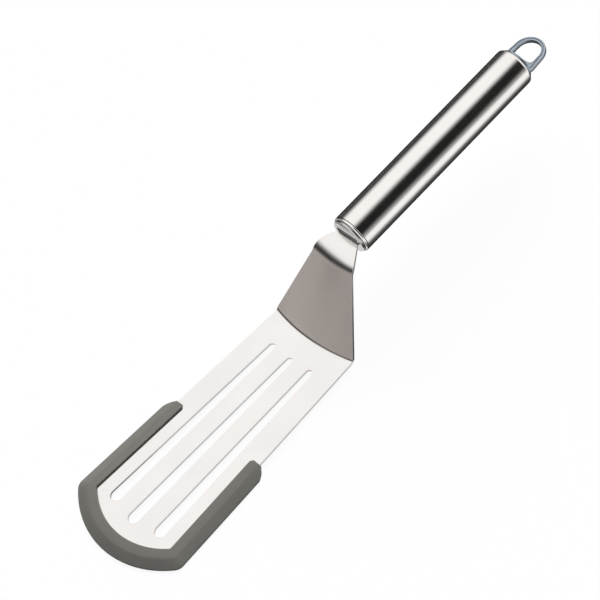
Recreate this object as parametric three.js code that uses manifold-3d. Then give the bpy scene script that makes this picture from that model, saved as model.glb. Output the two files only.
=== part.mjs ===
// Slotted kitchen turner: a bent steel blade with a moulded silicone edge on a hollow steel handle.
// Millimetres, +Z up. The tool lies on its silicone edge, front towards -X, handle towards +X.
// The origin is on the resting plane, under the middle of the tool's length and width.
import * as THREE from "three";
import { mergeVertices } from "three/addons/utils/BufferGeometryUtils.js";
import Module from "manifold-3d";

const degree = Math.PI / 180;

// Blade: one stamped sheet, flat and slotted, then a riser, a neck and a tang.
const sheet = 1.5;
const heelHalfWidth = 30;
const sideFlare = 2.7 * degree;
const bladeLength = 156.4;
const frontRadius = 53.3;
const frontCornerRadius = 5;
const heelBow = 3.7;
const heelBendRadius = 4;
const riserAngle = 52 * degree;
const riserLength = 53.4;
const riserTopHalfWidth = 15.2;
const topBow = 0.9;
const topBendRadius = 16.5;
const neckFlat = 2.6;
const neckHalfWidth = 7.5;
const tangLength = 20;

// Draining slots, fanned and widening towards the front.
const slotCount = 3;
const slotHeelPitch = 14.9;
const slotFrontPitch = 18.3;
const slotHeelRadius = 2.15;
const slotFrontRadius = 3.75;
const slotHeelInset = 14;
const slotFrontInset = 14.1;

// Silicone edge, moulded round the front and along both sides of the blade.
const edgeUnder = 1.1;
const edgeOverhang = 5.5;
const edgeOverlap = 5.4;
const edgeArmReach = 81.4;
const edgeOuterCornerRadius = 6;
const edgeInnerCornerRadius = 1.5;
const edgeLipLow = 0.5;
const edgeLipHigh = 1.1;
const edgeRidge = 0.65;
const edgeRidgeShare = 0.5;
const edgeSlopeShare = 0.25;
const edgeSlopeRise = 0.55;
const edgeInnerRim = 1.15;
const edgeUnderChamfer = 2.2;
const edgeTipChamfer = 6.8;
const edgeTipWall = 0.8;
const edgeTipRounding = 2.2;

// Handle: a drawn tube with turned-in ends.
const handleTilt = 1.4 * degree;
const tubeRadius = 12;
const tubeWall = 0.5;
const tubeLength = 134.2;
const tubeFrontTurnIn = 0.9;
const tubeFrontShoulder = 1.6;
const tubeRearTurnIn = 2.1;
const tubeRearShoulder = 2.3;

// Front cap, a drawn cup that closes the tube round the neck.
const capRise = 1.7;
const capFaceRadius = 10.2;
const capWall = 0.9;
const capMouthHeadroom = 3;
const capSpigotLength = 7;

// Plug that grips the tang inside the tube.
const plugSetback = 0.4;
const plugLength = 14;

// Hanging loop, a cast eye on a plugged end plate.
const loopThickness = 3;
const loopBaseHalfWidth = 10.3;
const loopBaseFlare = 2;
const loopEyeCentre = 10.5;
const loopOuterRadius = 9.7;
const loopWindowRadius = 7.3;
const loopWindowBase = 4.6;
const loopWindowCorner = 1.2;
const loopEdgeBevel = 0.5;
const loopPlateThickness = 1.2;
const loopSpigotLength = 4;

// Room left between pieces that are pressed, moulded or slid together.
const fitGap = 0.2;

// How finely round shapes are cut into flats.
const tubeSides = 56;
const heelBendSteps = 6;
const riserSteps = 5;
const topBendSteps = 12;
const neckSteps = 3;
const cornerSteps = 5;
const frontSteps = 22;
const armSteps = 3;
const slopeSteps = 8;
const slotArcSteps = 8;
const shoulderSteps = 5;
const domeSteps = 6;
const loopArcSteps = 28;

const wasm = await Module();
wasm.setup();

// Sizes that follow from the ones above and that several pieces share.
const sheetTop = edgeUnder + sheet;
const edgeWidth = edgeOverhang + edgeOverlap;
const frontRimRadius = tubeRadius - tubeFrontTurnIn;
const rearRimRadius = tubeRadius - tubeRearTurnIn;
const topTurn = riserAngle - handleTilt;
const topTangent = topBendRadius * Math.tan(topTurn / 2);
const neckLength = topTangent + neckFlat + capRise;

function lerp(a, b, share) {
  return a + (b - a) * share;
}

function steps(count) {
  return Array.from({ length: count + 1 }, (_, i) => i / count);
}

// A closed mesh as a solid for cutting and joining.
function toSolid(geometry) {
  const bare = geometry.clone();
  bare.deleteAttribute("normal");
  bare.deleteAttribute("uv");
  const merged = mergeVertices(bare);
  const vertProperties = new Float32Array(merged.attributes.position.array);
  const triVerts = new Uint32Array(merged.index.array);
  return new wasm.Manifold(new wasm.Mesh({ numProp: 3, vertProperties, triVerts }));
}

function toGeometry(solid) {
  const mesh = solid.getMesh();
  const geometry = new THREE.BufferGeometry();
  geometry.setAttribute("position", new THREE.BufferAttribute(mesh.vertProperties, 3));
  geometry.setIndex(new THREE.BufferAttribute(mesh.triVerts, 1));
  geometry.computeVertexNormals();
  return geometry;
}

// Skins matching rings of points into one closed body. The fill is a list of corner
// triples, by place in a ring, that closes the first and last rings.
function loft(rings, fill) {
  const size = rings[0].length;
  const index = [];
  for (let ring = 0; ring + 1 < rings.length; ring++) {
    for (let i = 0; i < size; i++) {
      const here = ring * size + i;
      const beside = ring * size + ((i + 1) % size);
      index.push(here, beside, here + size);
      index.push(beside, beside + size, here + size);
    }
  }
  const last = (rings.length - 1) * size;
  for (const [a, b, c] of fill) {
    index.push(a, c, b);
    index.push(last + a, last + b, last + c);
  }
  const geometry = new THREE.BufferGeometry().setFromPoints(rings.flat());
  geometry.setIndex(index);
  geometry.computeVertexNormals();
  return geometry;
}

// A profile of (radius, distance along the handle) points, turned about the handle's axis.
function turned(profile) {
  return new THREE.LatheGeometry(profile, tubeSides).rotateZ(-Math.PI / 2);
}

// A round shoulder from one (radius, distance) point to another, full at its outer end.
function shoulder(from, to, count) {
  return steps(count).map((share) => {
    const turn = (share * Math.PI) / 2;
    return new THREE.Vector2(
      lerp(to.x, from.x, Math.cos(turn)),
      lerp(from.y, to.y, Math.sin(turn)),
    );
  });
}

// Outline of the blade's front, from the left side round to the right, pushed out by
// an amount that is negative inwards. A corner arc joins each straight side to the front
// arc, and sideEnd is where the sides are cut off at the back.
function frontOutline(out, corner, sideEnd) {
  const centre = -bladeLength + frontRadius;
  const radius = frontRadius + out;
  const slope = Math.tan(sideFlare);
  const rootHalf = heelHalfWidth + out / Math.cos(sideFlare);
  // The corner's centre lies on the side line moved in by its radius, and on the front
  // circle shrunk by its radius.
  const innerHalf = rootHalf - corner / Math.cos(sideFlare);
  const reach = radius - corner;
  const a = 1 + slope * slope;
  const b = -2 * (centre + slope * innerHalf);
  const c = centre * centre + innerHalf * innerHalf - reach * reach;
  const cornerX = (-b - Math.sqrt(b * b - 4 * a * c)) / (2 * a);
  const cornerY = innerHalf - slope * cornerX;
  const sideTurn = Math.PI / 2 - sideFlare;
  const frontTurn = Math.atan2(cornerY, cornerX - centre);
  const left = [];
  const tangentX = cornerX + corner * Math.cos(sideTurn);
  for (const share of steps(armSteps).slice(0, -1)) {
    const x = lerp(sideEnd, tangentX, share);
    left.push(new THREE.Vector2(x, rootHalf - slope * x));
  }
  for (const share of steps(cornerSteps).slice(0, -1)) {
    const turn = lerp(sideTurn, frontTurn, share);
    const x = cornerX + corner * Math.cos(turn);
    left.push(new THREE.Vector2(x, cornerY + corner * Math.sin(turn)));
  }
  const front = steps(frontSteps).map((share) => {
    const turn = lerp(frontTurn, 2 * Math.PI - frontTurn, share);
    return new THREE.Vector2(centre + radius * Math.cos(turn), radius * Math.sin(turn));
  });
  const right = left.map((p) => new THREE.Vector2(p.x, -p.y)).reverse();
  return [...left, ...front, ...right];
}

// How far a bowed bend reaches forward at a share of the half width from the middle.
function bowed(depth, share) {
  return depth * (1 - share * share);
}

// Side view of the sheet's upper face from the heel to the tang's end: position, slope,
// half width and depth of bow at each station.
function bladeStations() {
  const stations = [];
  const heelTangent = heelBendRadius * Math.tan(riserAngle / 2);
  const along = (angle) => new THREE.Vector2(Math.cos(angle), Math.sin(angle));
  const heel = new THREE.Vector2(0, sheetTop);
  const top = heel.clone().addScaledVector(along(riserAngle), riserLength);
  const riserRun = riserLength - heelTangent - topTangent;

  const heelCentre = new THREE.Vector2(-heelTangent, sheetTop + heelBendRadius);
  for (const share of steps(heelBendSteps)) {
    const slope = riserAngle * share;
    const point = heelCentre.clone().addScaledVector(along(slope - Math.PI / 2), heelBendRadius);
    stations.push({ point, slope, half: heelHalfWidth, bow: heelBow });
  }
  for (const share of steps(riserSteps).slice(1)) {
    const point = heel.clone().addScaledVector(along(riserAngle), heelTangent + riserRun * share);
    const half = lerp(heelHalfWidth, riserTopHalfWidth, share);
    stations.push({ point, slope: riserAngle, half, bow: lerp(heelBow, topBow, share) });
  }

  // The neck narrows on a quarter wave from the top of the riser to the cap's face.
  const neckStart = top.clone().addScaledVector(along(riserAngle), -topTangent);
  const topCentre = neckStart.clone().addScaledVector(along(riserAngle - Math.PI / 2), topBendRadius);
  const bendRun = topBendRadius * topTurn;
  const neckHalf = (run) => {
    const turn = (Math.PI / 2) * (run / (bendRun + neckFlat));
    return lerp(neckHalfWidth, riserTopHalfWidth, Math.cos(turn));
  };
  for (const share of steps(topBendSteps).slice(1)) {
    const slope = lerp(riserAngle, handleTilt, share);
    const point = topCentre.clone().addScaledVector(along(slope + Math.PI / 2), topBendRadius);
    stations.push({ point, slope, half: neckHalf(bendRun * share), bow: topBow });
  }
  for (const share of steps(neckSteps).slice(1)) {
    const point = top.clone().addScaledVector(along(handleTilt), topTangent + neckFlat * share);
    const half = neckHalf(bendRun + neckFlat * share);
    stations.push({ point, slope: handleTilt, half, bow: lerp(topBow, 0, share) });
  }
  const point = top.clone().addScaledVector(along(handleTilt), neckLength + tangLength);
  stations.push({ point, slope: handleTilt, half: neckHalfWidth, bow: 0 });
  return stations;
}

// Centre of the tube's front rim: on the neck's middle line, at the end of the neck.
function handleOrigin() {
  const top = new THREE.Vector2(Math.cos(riserAngle), Math.sin(riserAngle)).multiplyScalar(riserLength);
  const x = top.x + neckLength * Math.cos(handleTilt) + (sheet / 2) * Math.sin(handleTilt);
  const z = sheetTop + top.y + neckLength * Math.sin(handleTilt) - (sheet / 2) * Math.cos(handleTilt);
  return new THREE.Vector3(x, 0, z);
}

// A slot that widens from the heel to the front: two arcs and the lines that touch both.
function slotShape(heelY, frontY) {
  const heelX = -slotHeelInset - bowed(heelBow, heelY / heelHalfWidth) - slotHeelRadius;
  const frontDrop = frontRadius - Math.sqrt(frontRadius * frontRadius - frontY * frontY);
  const frontX = -bladeLength + frontDrop + slotFrontInset + slotFrontRadius;
  const lean = Math.atan2(frontY - heelY, frontX - heelX);
  const span = Math.hypot(frontX - heelX, frontY - heelY);
  const taper = Math.acos((slotHeelRadius - slotFrontRadius) / span);
  const shape = new THREE.Shape();
  shape.absarc(heelX, heelY, slotHeelRadius, lean + taper, lean + 2 * Math.PI - taper, false);
  shape.absarc(frontX, frontY, slotFrontRadius, lean - taper, lean + taper, false);
  return shape;
}

function makeBlade() {
  const outline = frontOutline(0, frontCornerRadius, 0).slice(armSteps, -armSteps);
  const columns = outline.length;
  const widthShare = (i) => 1 - (2 * i) / (columns - 1);
  const front = outline.map((p) => new THREE.Vector3(p.x, p.y, sheetTop));
  const ringOf = (upper, slope) => {
    const down = new THREE.Vector3(Math.sin(slope), 0, -Math.cos(slope)).multiplyScalar(sheet);
    const lower = upper.map((p) => p.clone().add(down)).reverse();
    return [...upper, ...lower];
  };
  const rings = [ringOf(front, 0)];
  for (const { point, slope, half, bow } of bladeStations()) {
    const upper = steps(columns - 1).map((_, i) => {
      const share = widthShare(i);
      return new THREE.Vector3(point.x - bowed(bow, share), half * share, point.y);
    });
    rings.push(ringOf(upper, slope));
  }
  const fill = front.slice(1).flatMap((_, i) => {
    const below = 2 * columns - 1 - i;
    return [[i, i + 1, below - 1], [i, below - 1, below]];
  });
  let solid = toSolid(loft(rings, fill));
  for (let i = 0; i < slotCount; i++) {
    const place = i - (slotCount - 1) / 2;
    const shape = slotShape(place * slotHeelPitch, place * slotFrontPitch);
    const options = { depth: sheetTop + sheet, bevelEnabled: false, curveSegments: slotArcSteps };
    const cutter = new THREE.ExtrudeGeometry(shape, options);
    solid = solid.subtract(toSolid(cutter));
  }
  return toGeometry(solid);
}

// The edge's section, from the flat underside round the groove that holds the sheet, up
// the inner rim, out to a soft ridge and down to the outer lip. Each point is a share of
// the way from the outer to the inner outline, and a height; groove points lie on the
// sheet's own outline instead. Points over the sheet have a least height for the tips,
// where the outer outline closes in on the sheet.
function edgeSection() {
  const ridge = sheetTop + edgeRidge;
  const slope = new THREE.SplineCurve([
    new THREE.Vector2(1, sheetTop + edgeInnerRim),
    new THREE.Vector2(edgeRidgeShare, ridge),
    new THREE.Vector2(edgeSlopeShare, lerp(edgeLipHigh, ridge, edgeSlopeRise)),
    new THREE.Vector2(0, edgeLipHigh),
  ]);
  const section = [
    { share: edgeUnderChamfer / edgeWidth, height: 0, tipHeight: 0 },
    { share: 1, height: 0, tipHeight: 0 },
    { share: 1, height: edgeUnder - fitGap, tipHeight: 0 },
    { groove: true, height: edgeUnder - fitGap, tipHeight: 0 },
    { groove: true, height: sheetTop + fitGap, tipHeight: 0 },
    { share: 1, height: sheetTop + fitGap, tipHeight: 0 },
  ];
  for (const { x, y } of slope.getPoints(slopeSteps)) {
    section.push({ share: x, height: y, tipHeight: ridge });
  }
  section.push({ share: 0, height: edgeLipLow, tipHeight: 0 });
  return section;
}

// Rounds or chamfers one arm's end: the outline's first and last points are moved to the
// tip's end face, and a point between keeps the corner soft.
function withTips(outline, tipX, tipOffset, softness) {
  const slope = Math.tan(sideFlare);
  const half = heelHalfWidth + tipOffset / Math.cos(sideFlare) - slope * tipX;
  const end = new THREE.Vector2(tipX, half);
  const near = outline[0];
  const soft = new THREE.Vector2(lerp(end.x, near.x, softness), lerp(end.y, near.y, 1 - softness));
  const mirrored = [soft, end].map((p) => new THREE.Vector2(p.x, -p.y));
  return [end, soft, ...outline, ...mirrored];
}

function makeSiliconeEdge() {
  const tipX = -bladeLength + edgeArmReach;
  const tipBend = 0.42;
  const straight = 0.5;
  const outerStart = tipX - edgeTipChamfer;
  const innerStart = tipX - edgeTipRounding;
  const outer = withTips(
    frontOutline(edgeOverhang, edgeOuterCornerRadius, outerStart),
    tipX, edgeTipWall + fitGap, tipBend,
  );
  const inner = withTips(
    frontOutline(-edgeOverlap, edgeInnerCornerRadius, innerStart),
    tipX, edgeTipRounding - edgeOverlap, tipBend,
  );
  const groove = withTips(
    frontOutline(fitGap, frontCornerRadius + fitGap, innerStart),
    tipX, fitGap, straight,
  );
  const section = edgeSection();
  const closingIn = [1, tipBend];
  const rings = outer.map((out, i) => section.map(({ share, groove: inGroove, height, tipHeight }) => {
    const plan = inGroove ? groove[i] : out.clone().lerp(inner[i], share);
    const lift = closingIn[Math.min(i, outer.length - 1 - i)] ?? 0;
    return new THREE.Vector3(plan.x, plan.y, lerp(height, Math.max(height, tipHeight), lift));
  }));
  const grooveShare = edgeOverhang / edgeWidth;
  const flat = section.map(({ share, height }) => new THREE.Vector2(share ?? grooveShare, height));
  return loft(rings, THREE.ShapeUtils.triangulateShape(flat, []));
}

function makeTube() {
  const outerFront = new THREE.Vector2(tubeRadius, tubeFrontShoulder);
  const outerRear = new THREE.Vector2(tubeRadius, tubeLength - tubeRearShoulder);
  const rimFront = new THREE.Vector2(frontRimRadius, 0);
  const rimRear = new THREE.Vector2(rearRimRadius, tubeLength);
  const outside = [
    ...shoulder(outerFront, rimFront, shoulderSteps).reverse(),
    ...shoulder(outerRear, rimRear, shoulderSteps),
  ];
  const inward = new THREE.Vector2(tubeWall, 0);
  const inside = outside.map((p) => p.clone().sub(inward)).reverse();
  return turned([...outside, ...inside, outside[0].clone()]);
}

function makeFrontCap() {
  const seat = new THREE.Vector2(frontRimRadius, -fitGap);
  const face = new THREE.Vector2(capFaceRadius, -capRise);
  const spigotRadius = frontRimRadius - tubeWall - fitGap;
  const hollowRadius = spigotRadius - capWall;
  const hollowFront = -capRise + capWall;
  const profile = [
    new THREE.Vector2(0, -capRise),
    ...shoulder(seat, face, domeSteps).reverse(),
    new THREE.Vector2(spigotRadius, -fitGap),
    new THREE.Vector2(spigotRadius, capSpigotLength),
    new THREE.Vector2(hollowRadius, capSpigotLength),
    new THREE.Vector2(hollowRadius, hollowFront),
    new THREE.Vector2(0, hollowFront),
  ];
  const mouth = new THREE.BoxGeometry(
    2 * capRise,
    2 * (neckHalfWidth + fitGap),
    sheet + 2 * fitGap + capMouthHeadroom,
  );
  mouth.translate(-capRise, 0, capMouthHeadroom / 2);
  return toGeometry(toSolid(turned(profile)).subtract(toSolid(mouth)));
}

// A round plug with a flat slot through it for the tang.
function makeTangPlug() {
  const section = new THREE.Shape();
  section.absarc(0, 0, tubeRadius - tubeWall - fitGap, 0, 2 * Math.PI, false);
  const halfLong = neckHalfWidth + fitGap;
  const halfShort = sheet / 2 + fitGap;
  section.holes.push(new THREE.Path([
    new THREE.Vector2(-halfLong, -halfShort),
    new THREE.Vector2(-halfLong, halfShort),
    new THREE.Vector2(halfLong, halfShort),
    new THREE.Vector2(halfLong, -halfShort),
  ]));
  const options = { depth: plugLength, bevelEnabled: false, curveSegments: tubeSides / 2 };
  const plug = new THREE.ExtrudeGeometry(section, options);
  plug.rotateY(Math.PI / 2).rotateX(Math.PI / 2);
  return plug.translate(capSpigotLength + plugSetback, 0, 0);
}

// An arch outline in the plane of the eye: straight sides that touch a round top.
function archShape(baseX, baseHalf, flareX, flareHalf, radius) {
  const run = loopEyeCentre - flareX;
  const span = Math.hypot(run, flareHalf);
  const start = Math.atan2(flareHalf, -run) - Math.acos(radius / span);
  const shape = new THREE.Shape();
  shape.moveTo(baseX, -baseHalf);
  shape.lineTo(flareX, -flareHalf);
  shape.absarc(loopEyeCentre, 0, radius, -start, start, false);
  shape.lineTo(flareX, flareHalf);
  shape.lineTo(baseX, baseHalf);
  shape.closePath();
  return shape;
}

function makeHangingLoop() {
  const spigotRadius = rearRimRadius - tubeWall - fitGap;
  const plateFace = fitGap + loopPlateThickness;
  const sunk = fitGap + loopPlateThickness / 2;
  const sunkHalf = rearRimRadius - loopEdgeBevel;
  const eye = archShape(sunk, sunkHalf, loopBaseFlare, loopBaseHalfWidth, loopOuterRadius);
  const windowHalf = loopWindowRadius;
  const windowTop = loopWindowBase + loopWindowCorner;
  eye.holes.push(archShape(
    loopWindowBase, windowHalf - loopWindowCorner, windowTop, windowHalf, loopWindowRadius,
  ));
  const plate = new THREE.ExtrudeGeometry(eye, {
    depth: loopThickness - 2 * loopEdgeBevel,
    bevelThickness: loopEdgeBevel,
    bevelSize: loopEdgeBevel,
    bevelOffset: -loopEdgeBevel,
    bevelSegments: 2,
    curveSegments: loopArcSteps,
  });
  plate.translate(0, 0, loopEdgeBevel - loopThickness / 2);
  const stem = turned([
    new THREE.Vector2(0, -loopSpigotLength),
    new THREE.Vector2(spigotRadius, -loopSpigotLength),
    new THREE.Vector2(spigotRadius, fitGap),
    new THREE.Vector2(rearRimRadius, fitGap),
    new THREE.Vector2(rearRimRadius, plateFace),
    new THREE.Vector2(0, plateFace),
  ]);
  return toGeometry(toSolid(stem).add(toSolid(plate)));
}

// Finishes, as the tool shows them.
const satinSteel = new THREE.MeshStandardMaterial({ color: 0xd9d8d5, roughness: 0.32, metalness: 1 });
const brushedTube = new THREE.MeshStandardMaterial({ color: 0xc9c4be, roughness: 0.26, metalness: 1 });
const greySilicone = new THREE.MeshStandardMaterial({ color: 0x76756f, roughness: 0.62, metalness: 0 });
const castEye = new THREE.MeshStandardMaterial({ color: 0xa0a8b0, roughness: 0.38, metalness: 1 });
const plugPlastic = new THREE.MeshStandardMaterial({ color: 0x4a4a4a, roughness: 0.7, metalness: 0 });

function piece(name, geometry, material) {
  const mesh = new THREE.Mesh(geometry, material);
  mesh.name = name;
  return mesh;
}

const handle = new THREE.Group();
handle.add(piece("handle_tube", makeTube(), brushedTube));
handle.add(piece("front_cap", makeFrontCap(), satinSteel));
handle.add(piece("tang_plug", makeTangPlug(), plugPlastic));
const rearEnd = new THREE.Group();
rearEnd.position.x = tubeLength;
rearEnd.add(piece("hanging_loop", makeHangingLoop(), castEye));
handle.add(rearEnd);
handle.position.copy(handleOrigin());
handle.rotation.y = -handleTilt;

const turner = new THREE.Group();
turner.add(piece("blade", makeBlade(), satinSteel));
turner.add(piece("silicone_edge", makeSiliconeEdge(), greySilicone));
turner.add(handle);

// The whole tool is slid along X so that the origin lies under its middle.
const frontEnd = -bladeLength - edgeOverhang;
const loopTip = tubeLength + loopEyeCentre + loopOuterRadius;
const loopReach = loopTip * Math.cos(handleTilt) + (loopThickness / 2) * Math.sin(handleTilt);
turner.position.x = -(frontEnd + handle.position.x + loopReach) / 2;

const group = new THREE.Group();
group.add(turner);

export default group;
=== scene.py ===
import bmesh
import bpy
import numpy as np
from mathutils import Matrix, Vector


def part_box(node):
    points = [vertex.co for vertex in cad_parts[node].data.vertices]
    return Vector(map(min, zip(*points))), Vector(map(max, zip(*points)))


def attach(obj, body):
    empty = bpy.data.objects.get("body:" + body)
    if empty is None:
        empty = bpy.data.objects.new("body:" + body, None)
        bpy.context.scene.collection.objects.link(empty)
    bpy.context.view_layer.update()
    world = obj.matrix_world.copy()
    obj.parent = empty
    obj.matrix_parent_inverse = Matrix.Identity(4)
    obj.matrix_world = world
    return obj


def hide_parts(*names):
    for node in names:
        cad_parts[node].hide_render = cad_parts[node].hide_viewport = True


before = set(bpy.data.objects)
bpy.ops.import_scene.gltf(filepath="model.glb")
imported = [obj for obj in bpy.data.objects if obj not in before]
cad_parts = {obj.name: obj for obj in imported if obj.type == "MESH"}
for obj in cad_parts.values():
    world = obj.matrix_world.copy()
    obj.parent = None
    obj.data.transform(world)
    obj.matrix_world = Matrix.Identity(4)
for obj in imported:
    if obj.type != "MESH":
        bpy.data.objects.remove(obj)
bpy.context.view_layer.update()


# Blade
# One stainless sheet, stamped to outline and slotted, then pressed along the bowed heel
# and across the top of the riser. The neck narrows into a tang that is held in the handle.
MM = 0.001
sheet = 1.5 * MM
heel_half = 30 * MM
side_slope = np.tan(np.radians(2.7))
blade_length = 156.4 * MM
front_radius = 53.3 * MM
heel_bow = 3.7 * MM
heel_bend = 4 * MM
riser_angle = np.radians(52)
riser_length = 53.4 * MM
riser_top_half = 15.2 * MM
top_bow = 0.9 * MM
top_bend = 16.5 * MM
neck_flat = 2.6 * MM
neck_half = 7.5 * MM
tang_length = 20 * MM
handle_tilt = np.radians(1.4)
cap_rise = 1.7 * MM
slot_heel_pitch, slot_front_pitch = 14.9 * MM, 18.3 * MM
slot_heel_radius, slot_front_radius = 2.15 * MM, 3.75 * MM
slot_heel_inset, slot_front_inset = 14 * MM, 14.1 * MM
edge_break = 0.03 * MM
weld_gap = 0.002 * MM
sheet_colour = (0.925, 0.895, 0.872)
cut_edge_shade_colour = (0.58, 0.572, 0.563)
brushed_lengthwise = (45, 2400, 45)
sheared_streaks = (700, 700, 90)

top_turn = riser_angle - handle_tilt
top_tangent = top_bend * np.tan(top_turn / 2)
neck_length = top_tangent + neck_flat + cap_rise
heel_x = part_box("blade")[0].x + blade_length
sheet_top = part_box("blade")[0].z + sheet


def skin(name, grids, closed=True):
    """Grids of points as one surface: four neighbours on a grid make a face, points that
    meet are welded, and a closed body is turned to face outwards."""
    points = np.concatenate([grid.reshape(-1, 3) for grid in grids])
    starts = np.cumsum([0] + [grid.shape[0] * grid.shape[1] for grid in grids])
    squares = []
    for grid, start in zip(grids, starts):
        rows, columns = grid.shape[:2]
        at = start + np.arange(rows * columns).reshape(rows, columns)
        corners = [at[:-1, :-1], at[:-1, 1:], at[1:, 1:], at[1:, :-1]]
        squares.append(np.stack(corners, -1).reshape(-1, 4))
    mesh = bpy.data.meshes.new(name)
    mesh.from_pydata(points.tolist(), [], np.concatenate(squares).tolist())
    shell = bmesh.new()
    shell.from_mesh(mesh)
    bmesh.ops.remove_doubles(shell, verts=shell.verts, dist=weld_gap)
    if closed:
        bmesh.ops.recalc_face_normals(shell, faces=shell.faces)
    shell.to_mesh(mesh)
    shell.free()
    thing = bpy.data.objects.new(name, mesh)
    bpy.context.scene.collection.objects.link(thing)
    return thing


def finish_faces(thing, crease):
    """Works the modifiers into the mesh, then shades it smooth apart from edges that turn
    by more than the crease angle."""
    seen = thing.evaluated_get(bpy.context.evaluated_depsgraph_get())
    mesh = bpy.data.meshes.new_from_object(seen)
    thing.modifiers.clear()
    thing.data = mesh
    mesh.shade_smooth()
    mesh.set_sharp_from_angle(angle=np.radians(crease))


def blade_ribs():
    """Four ribs between the slots, each a grid. A column runs from the tang's end to the
    front arc. Behind the heel its place across is a fixed share of the sheet's width; on
    the flat it is a share of the way between the slot or side walls beside it."""
    lines = np.arange(-2, 3)
    heel_tangent = heel_bend * np.tan(riser_angle / 2)
    flat_rows, slot_end_rows, rib_columns = 41, 9, 9
    heel_steps, riser_steps, top_steps, neck_steps = 12, 18, 16, 14

    def bow(share):
        """How far the heel line bows forward at a share of the half width: a parabola, full at
        the middle and nothing at the sides."""
        return heel_bow * (1 - share * share)

    def front_at(y):
        """Where the front arc lies at a place across: a circle about a point on the middle
        line, touching the blade's full length."""
        widest = 0.99 * front_radius
        reach = np.clip(np.abs(y), 0, widest)
        return front_radius - blade_length - np.sqrt(front_radius ** 2 - reach ** 2)

    heel_y = lines * slot_heel_pitch
    front_y = lines * slot_front_pitch
    heel_c = -slot_heel_inset - bow(heel_y / heel_half) - slot_heel_radius
    front_c = front_at(front_y) + slot_front_inset + slot_front_radius

    def wall(line, x, hand):
        """Where the wall of a slot lies at x: its middle line, plus or minus the round end
        or the widening run between the ends. The outer lines are the sheet's own sides."""
        if abs(lines[line]) == 2:
            return np.sign(lines[line]) * (heel_half - side_slope * x)
        share = (heel_c[line] - x) / (heel_c[line] - front_c[line])
        middle = heel_y[line] + (front_y[line] - heel_y[line]) * share
        run = slot_heel_radius + (slot_front_radius - slot_heel_radius) * share
        heel_end = np.sqrt(np.clip(slot_heel_radius ** 2 - (x - heel_c[line]) ** 2, 0, None))
        front_end = np.sqrt(np.clip(slot_front_radius ** 2 - (x - front_c[line]) ** 2, 0, None))
        half = np.where(share < 0, heel_end, np.where(share > 1, front_end, run))
        return middle + hand * half

    # Rows are drawn together where the round slot ends are, and kept off the metal just
    # beyond each tip, where the broken edge needs room. Rooms are shares of a rib's length.
    tip_room = 0.0022
    row_room = tip_room / 12
    turn = np.linspace(0, np.pi / 2, slot_end_rows)
    start = -heel_tangent - bow(heel_y[1:3, None] / heel_half)
    stop = front_at(front_y[1:3, None])
    heel_ends = heel_c[1:3, None] + slot_heel_radius * np.cos(turn)
    front_ends = front_c[1:3, None] - slot_front_radius * np.cos(turn)
    heel_rows = (heel_ends - start) / (stop - start)
    front_rows = (front_ends - start) / (stop - start)
    tips = np.concatenate([heel_rows[:, 0], front_rows[:, 0]])
    outward = np.array([-1, -1, 1, 1])
    even_rows = np.linspace(0, 1, flat_rows)
    rows = np.concatenate([even_rows, heel_rows[:, 1:].ravel(), front_rows[:, 1:].ravel()])
    past = (rows[:, None] - tips) * outward
    rows = rows[np.all((past < -row_room) | (past > tip_room), 1)]
    apart = np.append(True, np.diff(np.sort(rows)) > row_room)
    rows = rows[apart[np.argsort(np.argsort(rows))]]
    along = np.sort(np.concatenate([rows, tips]))[:, None]

    # Side view behind the heel: bend, riser, bend, neck, tang.
    top = riser_length * np.array([np.cos(riser_angle), np.sin(riser_angle)])
    slope = np.linspace(0, riser_angle, heel_steps + 1)
    heel_part = np.stack([heel_bend * np.sin(slope) - heel_tangent, heel_bend * (1 - np.cos(slope))])
    climb = np.linspace(0, 1, riser_steps + 1)[1:]
    reach = heel_tangent + climb * (riser_length - heel_tangent - top_tangent)
    riser_part = np.outer([np.cos(riser_angle), np.sin(riser_angle)], reach)
    top_share = np.linspace(0, 1, top_steps + 1)[1:]
    lean = riser_angle - top_turn * top_share
    bend_x = np.sin(riser_angle) - np.sin(lean)
    bend_z = np.cos(lean) - np.cos(riser_angle)
    top_part = riser_part[:, -1:] + top_bend * np.stack([bend_x, bend_z])
    neck_run = neck_flat * np.linspace(0, 1, neck_steps + 1)[1:]
    run = np.concatenate([neck_run, [neck_length + tang_length - top_tangent]])
    level = np.array([np.cos(handle_tilt), np.sin(handle_tilt)])[:, None]
    neck_part = top[:, None] + level * (top_tangent + run)
    side_view = np.concatenate([heel_part, riser_part, top_part, neck_part], 1)
    bend_run = top_bend * top_turn
    narrowing = np.concatenate([bend_run * top_share, bend_run + np.clip(run, 0, neck_flat)])
    neck_share = np.cos(narrowing / (bend_run + neck_flat) * np.pi / 2)
    halves = np.concatenate([
        np.full(heel_steps + 1, heel_half), heel_half + (riser_top_half - heel_half) * climb,
        neck_half + (riser_top_half - neck_half) * neck_share,
    ])
    kept = top_bow / heel_bow
    fading = kept * np.linspace(1, 0, neck_steps + 1)[1:]
    bow_left = np.concatenate([
        np.ones(heel_steps + 1), 1 - (1 - kept) * climb, np.full(top_steps, kept), fading, [0],
    ])

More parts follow.
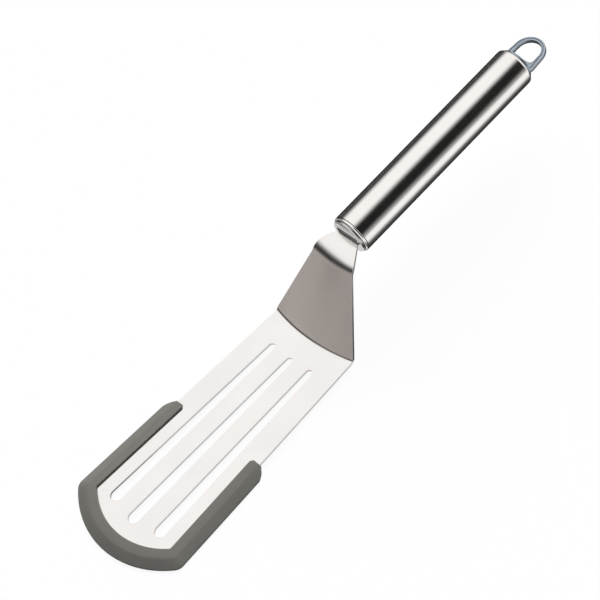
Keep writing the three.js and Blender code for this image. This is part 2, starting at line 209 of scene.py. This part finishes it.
    grids = []
    across = np.linspace(0, 1, rib_columns)[None, :]
    for rib in range(4):
        heel_low, heel_high = wall(rib, -heel_tangent, 1), wall(rib + 1, -heel_tangent, -1)
        share = (heel_low + (heel_high - heel_low) * across) / heel_half
        back = -heel_tangent - bow(share)
        low, high = wall(rib, back, 1), wall(rib + 1, back, -1)
        share = (low + (high - low) * across) / heel_half
        front_low, front_high = wall(rib, -blade_length, 0), wall(rib + 1, -blade_length, 0)
        stop = front_at(front_low * (1 - across) + front_high * across)
        stop = np.maximum(stop, -blade_length)
        x = back + (stop - back) * along
        low, high = wall(rib, x, 1), wall(rib + 1, x, -1)
        y = low + (high - low) * across
        flat = np.stack([x, y, np.zeros_like(x)], -1)
        behind_x = side_view[0][:, None] - bow_left[:, None] * bow(share)
        behind_z = side_view[1][:, None] + 0 * share
        behind = np.stack([behind_x, halves[:, None] * share, behind_z], -1)
        grids.append(np.concatenate([behind[:0:-1], flat]) + [heel_x, 0, sheet_top])
    return grids


def new_material(name):
    """An empty finish: the material, its node tree, its shader and its Object coordinates."""
    material = bpy.data.materials.new(name)
    material.use_nodes = True
    tree = material.node_tree
    place = tree.nodes.new("ShaderNodeTexCoord")
    return material, tree, tree.nodes["Principled BSDF"], place.outputs["Object"]


def speckle(tree, place, scale, detail=2, roughness=0.5):
    """Noise over the surface, as a value about 0.5."""
    noise = tree.nodes.new("ShaderNodeTexNoise")
    noise.inputs["Scale"].default_value = scale
    noise.inputs["Detail"].default_value = detail
    noise.inputs["Roughness"].default_value = roughness
    tree.links.new(place, noise.inputs["Vector"])
    return noise.outputs["Fac"]


def tinted(tree, shader, cloud, dark, light, low=0.3, high=0.7):
    """Colour that runs from dark to light as the noise runs from low to high."""
    blend = tree.nodes.new("ShaderNodeValToRGB")
    first, last = blend.color_ramp.elements
    first.position, last.position = low, high
    first.color, last.color = (*dark, 1), (*light, 1)
    tree.links.new(cloud, blend.inputs["Fac"])
    tree.links.new(blend.outputs["Color"], shader.inputs["Base Color"])


def polished(tree, shader, grain, smooth, dull, low=0, high=1):
    """Roughness that runs from smooth to dull as the noise runs from low to high."""
    spread = tree.nodes.new("ShaderNodeMapRange")
    spread.inputs["From Min"].default_value = low
    spread.inputs["From Max"].default_value = high
    spread.inputs["To Min"].default_value = smooth
    spread.inputs["To Max"].default_value = dull
    tree.links.new(grain, spread.inputs["Value"])
    tree.links.new(spread.outputs["Result"], shader.inputs["Roughness"])


def grained(tree, shader, grain, strength, depth):
    """A shallow bump that follows the noise."""
    bump = tree.nodes.new("ShaderNodeBump")
    bump.inputs["Strength"].default_value = strength
    bump.inputs["Distance"].default_value = depth
    tree.links.new(grain, bump.inputs["Height"])
    tree.links.new(bump.outputs["Normal"], shader.inputs["Normal"])


def brushed_steel(name, colour, stretch, roughness, strength):
    """Satin stainless: fine brush lines stretched along one direction set the roughness
    and a shallow bump, and slow cloudy patches tint the colour a little."""
    material, tree, shader, place = new_material(name)
    shader.inputs["Metallic"].default_value = 1
    lines = tree.nodes.new("ShaderNodeMapping")
    lines.inputs["Scale"].default_value = stretch
    tree.links.new(place, lines.inputs["Vector"])
    brush = speckle(tree, lines.outputs["Vector"], scale=1, detail=5, roughness=0.65)
    polished(tree, shader, brush, *roughness, low=0.3, high=0.7)
    grained(tree, shader, brush, strength, depth=0.02 * MM)
    cloud = speckle(tree, place, scale=35, detail=3)
    tinted(tree, shader, cloud, [0.95 * part for part in colour], colour)
    return material


satin_sheet = brushed_steel(
    "satin_sheet", sheet_colour, brushed_lengthwise, roughness=(0.17, 0.23), strength=0.06)
# Cut sides and slot walls: duller cut metal, and their colour is also darkened as painted shade along
# the slot walls.
cut_edge_and_shade = brushed_steel(
    "cut_edge_and_shade", cut_edge_shade_colour, sheared_streaks, roughness=(0.4, 0.55), strength=0.5)
blade = skin("turner_blade", blade_ribs(), closed=False)
blade.data.materials.append(satin_sheet)
blade.data.materials.append(cut_edge_and_shade)
wall_out = blade.modifiers.new("sheet", "SOLIDIFY")
wall_out.thickness = sheet
wall_out.offset = -1
wall_out.use_even_offset = True
wall_out.material_offset_rim = 1
broken = blade.modifiers.new("edge_break", "BEVEL")
broken.width = edge_break
broken.segments = 2
broken.limit_method = "ANGLE"
broken.angle_limit = np.radians(50)
broken.use_clamp_overlap = False
broken.material = 0
finish_faces(blade, crease=20)
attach(blade, "root")
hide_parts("blade")


# Silicone edge
# Warm grey silicone, moulded round the blade's front and part way up both sides. Its top
# falls gently from the steel to a soft ridge, then more steeply to the outer lip.
edge_out = 5.8 * MM
edge_in = 5.8 * MM
edge_width = edge_out + edge_in
lip_low, lip_high = 0.4 * MM, 1.25 * MM
ridge_top, inner_top = 3.25 * MM, 3.8 * MM
wall_draft = 0.1 * MM
under_chamfer = 2.2 * MM
section_softness = np.array([0.3, 0.4, 0.9, 0.6, 0.3, 0.8]) * MM
outer_corner = 6 * MM
inner_corner = 1.5 * MM
arm_end = 81.4 * MM - blade_length
tip_chamfer = 6.8 * MM
tip_offset = 1 * MM
tip_inner_round = 1.3 * MM
tip_pull = np.array([0.38, 0.68])
end_round = 0.6 * MM
silicone_dark = (0.148, 0.145, 0.131)
silicone_light = (0.161, 0.158, 0.142)


def softened(corners, cut, count):
    """A closed outline with each corner replaced by a parabola that leaves the sides at the
    cut distance from the corner."""
    corners, cut = np.array(corners), cut[:, None]
    to_last = np.roll(corners, 1, 0) - corners
    to_next = np.roll(corners, -1, 0) - corners
    start = corners + cut * to_last / np.linalg.norm(to_last, axis=1, keepdims=True)
    stop = corners + cut * to_next / np.linalg.norm(to_next, axis=1, keepdims=True)
    t = np.linspace(0, 1, count)[None, :, None]
    curve = (1 - t) ** 2 * start[:, None] + 2 * t * (1 - t) * corners[:, None] + t ** 2 * stop[:, None]
    return curve.reshape(-1, 2)


def edge_outline(out, corner, tip, tip_y, tip_run):
    """Plan outline of the edge, out from the sheet's own: the left tip as a parabola, the
    straight side, a corner arc, then the front arc; the right half mirrors the left."""
    tip_points, side_points, corner_points, front_points = 13, 30, 16, 40
    stretch = np.sqrt(1 + side_slope ** 2)
    root = heel_half + out * stretch
    centre, radius = front_radius - blade_length, front_radius + out
    lower = root - corner * stretch
    a = 1 + side_slope ** 2
    b = -2 * (centre + side_slope * lower)
    c = centre ** 2 + lower ** 2 - (radius - corner) ** 2
    corner_x = (-b - np.sqrt(b * b - 4 * a * c)) / (2 * a)
    corner_y = lower - side_slope * corner_x
    side_turn = np.pi / 2 - np.arctan(side_slope)
    front_turn = np.arctan2(corner_y, corner_x - centre)
    begin = tip - tip_run
    join = np.array([begin, root - side_slope * begin])
    end = np.array([tip, tip_y])
    pull = end + tip_pull * (join - end)
    t = np.linspace(0, 1, tip_points)[:, None]
    tip_part = (1 - t) ** 2 * end + 2 * t * (1 - t) * pull + t ** 2 * join
    x = np.linspace(begin, corner_x + corner * np.cos(side_turn), side_points)[1:]
    side_part = np.stack([x, root - side_slope * x], 1)
    turn = np.linspace(side_turn, front_turn, corner_points)[1:, None]
    corner_part = [corner_x, corner_y] + corner * np.concatenate([np.cos(turn), np.sin(turn)], 1)
    turn = np.linspace(front_turn, np.pi, front_points)[1:, None]
    front_part = [centre, 0] + radius * np.concatenate([np.cos(turn), np.sin(turn)], 1)
    left = np.concatenate([tip_part, side_part, corner_part, front_part])
    return np.concatenate([left, left[-2::-1] * [1, -1]])


def silicone_body():
    """The section carried along the edge: each section point is a share of the way from the
    outer outline to the inner one, and a height. The tips are cut across, so the top keeps
    the height it has at that distance from the sheet's side. Shrinking rings round them off."""
    points_a_corner, tip_rings = 7, 7
    corners = [(0, lip_low), (wall_draft, lip_high), (edge_out, ridge_top),
               (edge_width - wall_draft, inner_top), (edge_width, 0), (under_chamfer, 0)]
    section = softened(corners, section_softness, points_a_corner)
    section = np.concatenate([section, section[:1]])
    share, height = section[:, 0] / edge_width, section[:, 1]
    tip = arm_end - end_round
    tip_half = heel_half - side_slope * arm_end
    inner_tip_y = tip_half + tip_inner_round - edge_in
    outer = edge_outline(edge_out, outer_corner, tip, tip_half + tip_offset, tip_chamfer - end_round)
    inner = edge_outline(-edge_in, inner_corner, tip, inner_tip_y, tip_inner_round)
    plan = outer[:, None] + (inner - outer)[:, None] * share[None, :, None]

    def top_at(out):
        """Height of the top at a distance out from the sheet's side: two straight slopes
        that meet at the ridge."""
        return np.interp(out, [-edge_in, 0, edge_out], [inner_top, ridge_top, lip_high])

    out = np.abs(plan[:, :, 1]) - heel_half + side_slope * plan[:, :, 0]
    on_top = np.isin(np.arange(len(share)) // points_a_corner, [1, 2, 3])
    cut_off = outer[:, :1] > tip - tip_chamfer
    lift = np.where(on_top & cut_off, top_at(out) - top_at(edge_out - share * edge_width), 0)
    body = np.concatenate([plan, (height + lift)[:, :, None]], 2)

    def rounded_tip(ring):
        """Rings that shrink about the end ring's middle as they step out along x, by a quarter
        circle, and close in a point. The 1 keeps the ring's depth along x off zero."""
        turn = np.linspace(0, np.pi / 2, tip_rings)[1:, None, None]
        middle = (ring.max(0) + ring.min(0)) / 2
        half = (ring.max(0) - ring.min(0)) / 2 + [1, 0, 0]
        shrink = 1 - end_round * (1 - np.cos(turn)) / half
        rings = middle + (ring - middle) * shrink + [1, 0, 0] * (end_round * np.sin(turn))
        pole = np.broadcast_to(middle + [end_round, 0, 0], (1,) + ring.shape)
        return np.concatenate([rings, pole])

    whole = np.concatenate([rounded_tip(body[0])[::-1], body, rounded_tip(body[-1])])
    return whole + [heel_x, 0, 0]


def matt_silicone():
    """Grey silicone: a faint cloudy tint, and a dust-fine moulded grain that keeps the
    surface matt."""
    material, tree, shader, place = new_material("warm_grey_silicone")
    shader.inputs["Specular IOR Level"].default_value = 0.35
    cloud = speckle(tree, place, scale=60, detail=4)
    tinted(tree, shader, cloud, silicone_dark, silicone_light)
    grain = speckle(tree, place, scale=2200, detail=3)
    polished(tree, shader, grain, smooth=0.52, dull=0.72)
    grained(tree, shader, grain, strength=0.2, depth=0.03 * MM)
    return material


silicone_edge = skin("silicone_wrap", [silicone_body()])
silicone_edge.data.materials.append(matt_silicone())
finish_faces(silicone_edge, crease=50)
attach(silicone_edge, "root")
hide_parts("silicone_edge")


# Handle tube
# Thin stainless tube, brushed along its length, with a line rolled in behind a short front
# collar. Both ends are turned in over the pieces that close it.
tube_radius = 12 * MM
tube_wall = 0.5 * MM
tube_length = 134.2 * MM
front_rim = 11.1 * MM
front_shoulder = 1.6 * MM
rear_rim = 9.9 * MM
rear_shoulder = 2.3 * MM
collar_step, collar_edge = 0.1 * MM, 0.7 * MM
roll_depth, roll_half = 0.25 * MM, 0.2 * MM
tube_sides = 160
front_rings, barrel_rings, rear_rings = 12, 24, 14
tube_colour = (0.94, 0.915, 0.885)
tube_brushing = (30, 2400, 2400)
outline_shade_tint = (0.25, 0.25, 0.25, 1)
rolled_line_shade_colour = (0.1, 0.097, 0.094)
even_grain = (900, 900, 900)

# The axis lies in the middle of the sheet's thickness.
handle_x = heel_x + riser_length * np.cos(riser_angle) + neck_length * np.cos(handle_tilt)
handle_x += sheet / 2 * np.sin(handle_tilt)
handle_z = sheet_top + riser_length * np.sin(riser_angle) + neck_length * np.sin(handle_tilt)
handle_z -= sheet / 2 * np.cos(handle_tilt)


def on_handle(points):
    """Points given along, across and above the handle's axis, tilted up at the rear and
    moved to the handle's front rim."""
    along, across, above = points[..., 0], points[..., 1], points[..., 2]
    x = handle_x + along * np.cos(handle_tilt) - above * np.sin(handle_tilt)
    z = handle_z + along * np.sin(handle_tilt) + above * np.cos(handle_tilt)
    return np.stack([x, across, z], -1)


def turned(profile, sides):
    """A profile of radius and distance points, carried round the handle's axis."""
    profile = np.array(profile)
    turn = np.linspace(0, 2 * np.pi, sides + 1)[None, :]
    radius, along = profile[:, :1], profile[:, 1:]
    return on_handle(np.stack([along + 0 * turn, radius * np.cos(turn), radius * np.sin(turn)], -1))


def shoulder(start, stop, count):
    """A quarter of an ellipse between two radius and distance points, full at the start."""
    turn = np.linspace(0, np.pi / 2, count)
    radius = stop[0] + (start[0] - stop[0]) * np.cos(turn)
    return np.stack([radius, start[1] + (stop[1] - start[1]) * np.sin(turn)], 1)


collar = tube_radius - collar_step
barrel_end = tube_length - rear_shoulder
front_turn_in = shoulder((collar, collar_edge), (front_rim, 0), front_rings)[::-1]
rolled_line = [(collar, front_shoulder - roll_half), (tube_radius - roll_depth, front_shoulder),
               (tube_radius, front_shoulder + roll_half)]
barrel_along = np.linspace(front_shoulder, barrel_end, barrel_rings)[1:]
barrel = np.stack([np.full(barrel_rings - 1, tube_radius), barrel_along], 1)
rear_turn_in = shoulder((tube_radius, barrel_end), (rear_rim, tube_length), rear_rings)[1:]
tube_outside = np.concatenate([front_turn_in, rolled_line, barrel, rear_turn_in])
tube_inside = tube_outside[::-1] - [tube_wall, 0]
tube_profile = np.concatenate([tube_outside, tube_inside, tube_outside[:1]])
handle_tube = skin("handle_barrel", [turned(tube_profile, tube_sides)])
tube_steel = brushed_steel(
    "brushed_tube", tube_colour, tube_brushing, roughness=(0.14, 0.2), strength=0.06)
# The grey grazing tint darkens the tube's reflections towards its outline, as painted dark reflections
# along its edges.
tube_shader = tube_steel.node_tree.nodes["Principled BSDF"]
tube_shader.inputs["Specular Tint"].default_value = outline_shade_tint
# The rolled line gets a near-black colour as painted shade in its groove.
groove_painted_shade = brushed_steel(
    "rolled_line_painted_shade", rolled_line_shade_colour, even_grain, roughness=(0.5, 0.65), strength=0.3)
handle_tube.data.materials.append(tube_steel)
handle_tube.data.materials.append(groove_painted_shade)
# Faces of the rolled line take the painted shade.
face_row = np.arange(len(handle_tube.data.polygons)) // tube_sides
shaded_line_faces = (face_row >= len(front_turn_in)) & (face_row <= len(front_turn_in) + 1)
handle_tube.data.polygons.foreach_set("material_index", shaded_line_faces.astype(np.int32))
finish_faces(handle_tube, crease=40)
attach(handle_tube, "root")
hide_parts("handle_tube")


# Front cap
# A steel cup pressed into the tube's front. Its low dome has a recess and a slot for the
# blade's neck, whose insides are painted darker as the shade that falls in them.
cap_face = 10.2 * MM
cap_wall = 0.9 * MM
cap_end = 2.4 * MM
cap_spigot = 7 * MM
fit_gap = 0.2 * MM
mouth_gap = 0.3 * MM
mouth_headroom = 3 * MM
mouth_depth = 0.8 * MM
cap_sides, cap_dome_rings = 128, 16
cap_colour = (0.57, 0.566, 0.553)
recess_shade_colour = (0.3, 0.294, 0.285)


def mouth_block(name, headroom, depth):
    """A block round the neck's section, from ahead of the cap to a depth behind its face,
    closed to a point at both ends."""
    ring = np.array([(-1, -1), (1, -1), (1, 1), (-1, 1), (-1, -1)])
    ring = ring * [neck_half + mouth_gap, sheet / 2 + mouth_gap]
    ring = ring + np.where(ring > 0, [0, headroom], 0)
    ahead, behind = -2 * cap_rise, depth - cap_rise
    along = np.array([ahead, ahead, behind, behind])[:, None]
    shrunk = np.array([0, 1, 1, 0])[:, None]
    across, above = shrunk * ring[None, :, 0], shrunk * ring[None, :, 1]
    return skin(name, [on_handle(np.stack([along + 0 * across, across, above], -1))])


cap_inner = front_rim - tube_wall - fit_gap
cap_bore = cap_inner - cap_wall
cap_dome = shoulder((front_rim - fit_gap, -fit_gap), (cap_face, -cap_rise), cap_dome_rings)
cap_profile = np.concatenate([
    [(0, -cap_rise)], cap_dome[::-1], [(cap_inner, -fit_gap), (cap_inner, cap_spigot)],
    [(cap_bore, cap_spigot), (cap_bore, cap_end - cap_rise), (0, cap_end - cap_rise)],
])
front_cap = skin("neck_cap", [turned(cap_profile, cap_sides)])
satin_cap = brushed_steel(
    "satin_cap", cap_colour, even_grain, roughness=(0.22, 0.32), strength=0.12)
recess_painted_shade = brushed_steel(
    "recess_painted_shade", recess_shade_colour, even_grain, roughness=(0.5, 0.65), strength=0.3)
front_cap.data.materials.append(satin_cap)
front_cap.data.materials.append(recess_painted_shade)
cutters = [
    mouth_block("neck_recess", mouth_headroom, mouth_depth),
    mouth_block("neck_slot", 0, 2 * cap_end),
]
# The cutters' faces carry the darker colour onto the recess and slot walls, as painted shade.
for cutter in cutters:
    cutter.data.materials.append(satin_cap)
    cutter.data.materials.append(recess_painted_shade)
    inside_shade = np.ones(len(cutter.data.polygons), dtype=np.int32)
    cutter.data.polygons.foreach_set("material_index", inside_shade)
    cut = front_cap.modifiers.new(cutter.name, "BOOLEAN")
    cut.operation = "DIFFERENCE"
    cut.solver = "EXACT"
    cut.object = cutter
finish_faces(front_cap, crease=35)
for cutter in cutters:
    bpy.data.objects.remove(cutter)
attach(front_cap, "root")
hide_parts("front_cap")


# Tang plug
# Moulded plastic plug inside the tube that grips the tang. It is closed in on all sides,
# so the solid model's own shape stays and only gets its finish.
plug_dark = (0.07, 0.07, 0.072)
plug_light = (0.095, 0.095, 0.095)
plug_plastic, plug_tree, plug_shader, plug_place = new_material("moulded_plug")
plug_grain = speckle(plug_tree, plug_place, scale=900)
tinted(plug_tree, plug_shader, plug_grain, plug_dark, plug_light, low=0, high=1)
polished(plug_tree, plug_shader, plug_grain, smooth=0.55, dull=0.8)
tang_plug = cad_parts["tang_plug"]
tang_plug.data.materials.clear()
tang_plug.data.materials.append(plug_plastic)


# Hanging loop
# A cast eye, flat with rounded edges and a fine groove along its faces, standing on a
# round end plate that is pressed into the tube's rear.
loop_thick = 3 * MM
loop_base_half = 10.3 * MM
loop_flare = 2 * MM
eye_centre = 10.5 * MM
eye_outer = 9.7 * MM
window_radius = 7.3 * MM
window_base = 4.6 * MM
window_corner = 1.2 * MM
plate_thick = 1.2 * MM
plate_sunk = 0.8 * MM
plate_edge = 0.3 * MM
base_inset = 0.5 * MM
loop_spigot = 4 * MM
rim_round, rim_nip = 0.55 * MM, 0.16 * MM
groove_near, groove_far = 0.85 * MM, 1.55 * MM
groove_floor_near, groove_floor_far = 1.1 * MM, 1.3 * MM
groove_depth = 0.6 * MM
plate_sides = 96
loop_dark = (0.405, 0.458, 0.512)
loop_light = (0.47, 0.523, 0.577)


def arch(base, base_half, flare, flare_half, radius):
    """Half an arch as dense points: along the base, out to the flare, up the straight side
    to where it touches the round top, and over to the crown."""
    arc_points = 60
    run = eye_centre - flare
    touch = np.arctan2(flare_half, -run) - np.arccos(radius / np.hypot(run, flare_half))
    turn = np.linspace(touch, 0, arc_points)
    round_top = np.stack([eye_centre + radius * np.cos(turn), radius * np.sin(turn)], 1)
    corners = np.array([(base, 0), (base, base_half), (flare, flare_half)])
    return np.concatenate([corners, round_top])


def eye_ring():
    """A rounded section carried round the eye: at each angle about a point in the window it
    spans from the outer arch to the window's edge. A fine groove follows the outer edge on
    both faces."""
    half_turn_points, points_a_side = 91, 40
    hub_setback = 1 * MM
    hub = np.array([eye_centre - hub_setback, 0])
    angle = np.linspace(0, np.pi, half_turn_points)

    def reach(outline):
        """Distance from the hub to an outline at each angle: the outline is cut up finely and
        read off by its bearing."""
        offset = outline[::-1] - hub
        steps = np.linspace(0, 1, points_a_side, endpoint=False)[None, :, None]
        fine = (offset[:-1, None] * (1 - steps) + offset[1:, None] * steps).reshape(-1, 2)
        fine = np.concatenate([fine, offset[-1:]])
        bearing = np.arctan2(fine[:, 1], fine[:, 0])
        return np.interp(angle, bearing, np.hypot(fine[:, 0], fine[:, 1]))

    window_side = window_radius - window_corner
    window_foot = window_base + window_corner
    outer = reach(arch(plate_sunk, rear_rim - base_inset, loop_flare, loop_base_half, eye_outer))
    inner = reach(arch(window_base, window_side, window_foot, window_radius, window_radius))
    outer = np.concatenate([outer, outer[-2::-1]])
    inner = np.concatenate([inner, inner[-2::-1]])
    angle = np.concatenate([angle, 2 * np.pi - angle[-2::-1]])
    half = loop_thick / 2
    floor_height = groove_depth - half
    rim = np.array([(-half, rim_round), (rim_nip - half, rim_nip), (rim_round - half, 0)])
    groove = np.array([(-half, groove_far), (floor_height, groove_floor_far),
                       (floor_height, groove_floor_near), (-half, groove_near)])
    outside = np.concatenate([groove, rim, rim[::-1] * [-1, 1], groove[::-1] * [-1, 1]])
    inside = np.concatenate([rim, rim[::-1] * [-1, 1]])[::-1]
    from_outer = outer[:, None] - outside[None, :, 1]
    from_inner = inner[:, None] + inside[None, :, 1]
    radius = np.concatenate([from_outer, from_inner, from_outer[:, :1]], 1)
    height = np.concatenate([outside[:, 0], inside[:, 0], outside[:1, 0]])
    along = tube_length + hub[0] + radius * np.cos(angle)[:, None]
    across = radius * np.sin(angle)[:, None]
    return on_handle(np.stack([along, across, height[None, :] + 0 * radius], -1))


def cast_metal():
    """Satin cast metal, blue-grey: a fine pebbled skin from the mould, with cloudy tone."""
    material, tree, shader, place = new_material("cast_grey_metal")
    shader.inputs["Metallic"].default_value = 1
    cloud = speckle(tree, place, scale=180, detail=4)
    tinted(tree, shader, cloud, loop_dark, loop_light)
    pebble = speckle(tree, place, scale=1800)
    polished(tree, shader, pebble, smooth=0.3, dull=0.46)
    grained(tree, shader, pebble, strength=0.25, depth=0.03 * MM)
    return material


spigot_radius = rear_rim - tube_wall - fit_gap
plate_face = fit_gap + plate_thick
stem_profile = np.array([
    (0, -loop_spigot), (spigot_radius, -loop_spigot), (spigot_radius, fit_gap), (rear_rim, fit_gap),
    (rear_rim, plate_face - plate_edge), (rear_rim - plate_edge, plate_face), (0, plate_face),
]) + [0, tube_length]
hanging_loop = skin("hanging_eye", [eye_ring(), turned(stem_profile, plate_sides)])
hanging_loop.data.materials.append(cast_metal())
finish_faces(hanging_loop, crease=38)
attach(hanging_loop, "root")
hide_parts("hanging_loop")


# Floor and studio
# A plain white floor under the tool, and graded paper that is seen only in reflections:
# white overhead, with a dark flag on the near side and grey and dark low on the far side.
surround_radius = 2.5
surround_columns, surround_rows = 121, 46
floor_half = 4.0
paper_lift, upper_paper_lift = 0.5 * MM, 0.8 * MM
warm_grey = np.array([0.415, 0.38, 0.362])
cut_edge_paper = 0.03
riser_facing, riser_dimming = 144, 0.22
flag_dark, band_dark = 0.992, 0.95
floor_glow = 0.91
sky_glow = 0.05
sun_strength = 5.8
sun_spread = np.radians(70)
sun_from = Vector((0.69, 0.48, 0.53))


def ramp(value, low, high):
    """An S curve from 0 at low to 1 at high; low may be the larger."""
    share = np.clip((value - low) / (high - low), 0, 1)
    return share * share * (3 - 2 * share)


def glowing_paper(name):
    """A material that glows by the mesh's own tone attribute."""
    material = bpy.data.materials.new(name)
    material.use_nodes = True
    tree = material.node_tree
    tree.nodes.remove(tree.nodes["Principled BSDF"])
    tone = tree.nodes.new("ShaderNodeAttribute")
    tone.attribute_name = "tone"
    glow = tree.nodes.new("ShaderNodeEmission")
    tree.links.new(tone.outputs["Color"], glow.inputs["Color"])
    tree.links.new(glow.outputs["Emission"], tree.nodes["Material Output"].inputs["Surface"])
    return material


def gloss_card(name, grid, tone):
    """A stage card with a tone for each grid point, seen only in reflections."""
    card = skin(name, [grid], closed=False)
    shade = card.data.color_attributes.new("tone", "FLOAT_COLOR", "POINT")
    at = np.empty(3 * len(card.data.vertices))
    card.data.vertices.foreach_get("co", at)
    at = at.reshape(-1, 3)
    colour = np.ones((len(at), 4))
    colour[:, :3] = tone(at)
    shade.data.foreach_set("color", colour.ravel())
    card.data.materials.append(glowing_paper(name + "_paper"))
    card.visible_camera = False
    card.visible_diffuse = False
    card.visible_transmission = False
    card.visible_volume_scatter = False
    card.visible_shadow = False


def level_grid(along, across, height):
    """A level grid from places along the tool, places across it and one height."""
    x, y = np.meshgrid(along, across, indexing="ij")
    return np.stack([x, y, np.full(x.shape, height)], -1)


def riser_grey(at):
    """Warm grey for the riser to mirror, darker away from the direction its middle faces."""
    bearing = np.degrees(np.arctan2(at[:, 1], at[:, 0]))
    aside = np.abs(bearing - riser_facing)
    return warm_grey * (1 - riser_dimming * ramp(aside, 2, 20))[:, None]


def surround_tone(at):
    """White paper, with a dark flag on the near side and a dark band low on the far side,
    both by the angle from overhead towards the far side, and only as wide as the handle
    needs. To the far left the paper is grey at the floor, then dark, then white overhead."""
    over = np.degrees(np.arctan2(at[:, 1], at[:, 2]))
    near_flag = flag_dark * ramp(over, -3, -33) * (1 - 0.3 * ramp(over, -68, -92))
    far_band = band_dark * ramp(over, 40, 74)
    aside = at[:, 0] / np.linalg.norm(at, axis=1)
    width = ramp(aside, -0.36, -0.1) * ramp(aside, 0.78, 0.54)
    tone = (1 - (near_flag + far_band) * width)[:, None]
    bearing = np.degrees(np.arctan2(at[:, 1], at[:, 0]))
    height = np.degrees(np.arctan2(at[:, 2], np.hypot(at[:, 0], at[:, 1])))
    far_left = ramp(bearing, 108, 120) * ramp(bearing, 180, 174)
    leftmost = ramp(bearing, 146, 158)
    grey_ends = 9 + 10 * leftmost
    white_starts = 26 + 7 * leftmost
    grey = (1 - ramp(height, grey_ends, grey_ends + 4))[:, None] * riser_grey(at)
    white = 0.01 + 0.98 * ramp(height, white_starts, white_starts + 15)[:, None]
    return tone + (grey + white - tone) * far_left[:, None]


def underlay_tone(at):
    """Paper on the floor round the handle: pale in a strip in front of it, dark under and
    behind it."""
    pale = 0.26 + 0.66 * ramp(at[:, 1], -0.6, -0.13)
    in_front = ramp(at[:, 1], -0.028, -0.076)
    return (0.075 + pale * in_front)[:, None]


turn = np.radians(np.linspace(0, 360, surround_columns))[None, :]
rise = np.radians(np.linspace(0.5, 90, surround_rows))[:, None]
dome = [np.cos(rise) * np.cos(turn), np.cos(rise) * np.sin(turn), np.sin(rise) + 0 * turn]
gloss_card("paper_surround", surround_radius * np.stack(dome, -1), surround_tone)
handle_paper = level_grid([0.03, 1.3], np.linspace(-2.4, 2.4, 481), paper_lift)
gloss_card("handle_underlay", handle_paper, underlay_tone)
left_paper = level_grid(np.linspace(-2.0, -0.005, 100), np.linspace(0.02, 1.6, 80), paper_lift)
gloss_card("left_underlay", left_paper, riser_grey)
edge_paper = level_grid([-0.017, 0.04], [-0.1, -0.022], upper_paper_lift)
gloss_card("edge_underlay", edge_paper, lambda at: cut_edge_paper)


def seen_or_mirrored(tree):
    """1 for rays from the camera and for mirrored and see-through ones, 0 for the rest."""
    path = tree.nodes.new("ShaderNodeLightPath")
    seen = path.outputs["Is Camera Ray"]
    for kind in ("Is Glossy Ray", "Is Transmission Ray"):
        either = tree.nodes.new("ShaderNodeMath")
        either.operation = "MAXIMUM"
        tree.links.new(seen, either.inputs[0])
        tree.links.new(path.outputs[kind], either.inputs[1])
        seen = either.outputs["Value"]
    return seen


floor_span = [-floor_half, floor_half]
floor = skin("floor", [level_grid(floor_span, floor_span, 0)], closed=False)
white_floor = bpy.data.materials.new("white_floor")
white_floor.use_nodes = True
floor_tree = white_floor.node_tree
floor_shader = floor_tree.nodes["Principled BSDF"]
floor_shader.inputs["Base Color"].default_value = (0.95, 0.95, 0.95, 1)
floor_shader.inputs["Roughness"].default_value = 0.9
floor_shader.inputs["Specular IOR Level"].default_value = 0
share = floor_tree.nodes.new("ShaderNodeMath")
share.operation = "MULTIPLY"
share.inputs[1].default_value = floor_glow
floor_tree.links.new(seen_or_mirrored(floor_tree), share.inputs[0])
floor_white = floor_tree.nodes.new("ShaderNodeEmission")
floor_white.inputs["Color"].default_value = (1, 1, 1, 1)
blend = floor_tree.nodes.new("ShaderNodeMixShader")
floor_tree.links.new(share.outputs["Value"], blend.inputs["Fac"])
floor_tree.links.new(floor_shader.outputs["BSDF"], blend.inputs[1])
floor_tree.links.new(floor_white.outputs["Emission"], blend.inputs[2])
floor_tree.links.new(blend.outputs["Shader"], floor_tree.nodes["Material Output"].inputs["Surface"])
floor.data.materials.append(white_floor)

world = bpy.data.worlds.new("studio")
bpy.context.scene.world = world
world.use_nodes = True
sky = world.node_tree
sky.nodes["Background"].inputs["Color"].default_value = (1, 1, 1, 1)
level = sky.nodes.new("ShaderNodeMapRange")
level.inputs["To Min"].default_value = sky_glow
level.inputs["To Max"].default_value = 1
sky.links.new(seen_or_mirrored(sky), level.inputs["Value"])
sky.links.new(level.outputs["Result"], sky.nodes["Background"].inputs["Strength"])

key_light = bpy.data.lights.new("soft_overhead", "SUN")
key_light.energy = sun_strength
key_light.angle = sun_spread
key = bpy.data.objects.new("soft_overhead", key_light)
key.rotation_euler = sun_from.to_track_quat("Z", "Y").to_euler()
key.visible_glossy = False
bpy.context.scene.collection.objects.link(key)

# The camera stands where the outlines of blade and handle say it stood. It looks at a point
# just behind the heel, and is rolled so that the tool lies across the picture.
view_bearing = np.radians(-113.0575)
view_height = np.radians(51.7914)
view_roll = np.radians(26.5355)
view_distance = 1200 * MM
aim = np.array([heel_x + 9.447 * MM, 17.490 * MM, sheet_top + 8.368 * MM])
level_back = np.array([np.cos(view_bearing), np.sin(view_bearing), 0])
backward = level_back * np.cos(view_height) + [0, 0, np.sin(view_height)]
level_right = np.array([-np.sin(view_bearing), np.cos(view_bearing), 0])
level_up = np.cross(backward, level_right)
right = level_right * np.cos(view_roll) - level_up * np.sin(view_roll)
up = level_right * np.sin(view_roll) + level_up * np.cos(view_roll)
lens_data = bpy.data.cameras.new("camera")
lens_data.sensor_width = 36
lens_data.lens = 132
camera = bpy.data.objects.new("camera", lens_data)
stand = np.eye(4)
stand[:3] = np.stack([right, up, backward, aim + view_distance * backward], 1)
camera.matrix_world = stand.T.tolist()
bpy.context.scene.collection.objects.link(camera)
bpy.context.scene.camera = camera
bpy.context.scene.view_settings.view_transform = "Standard"
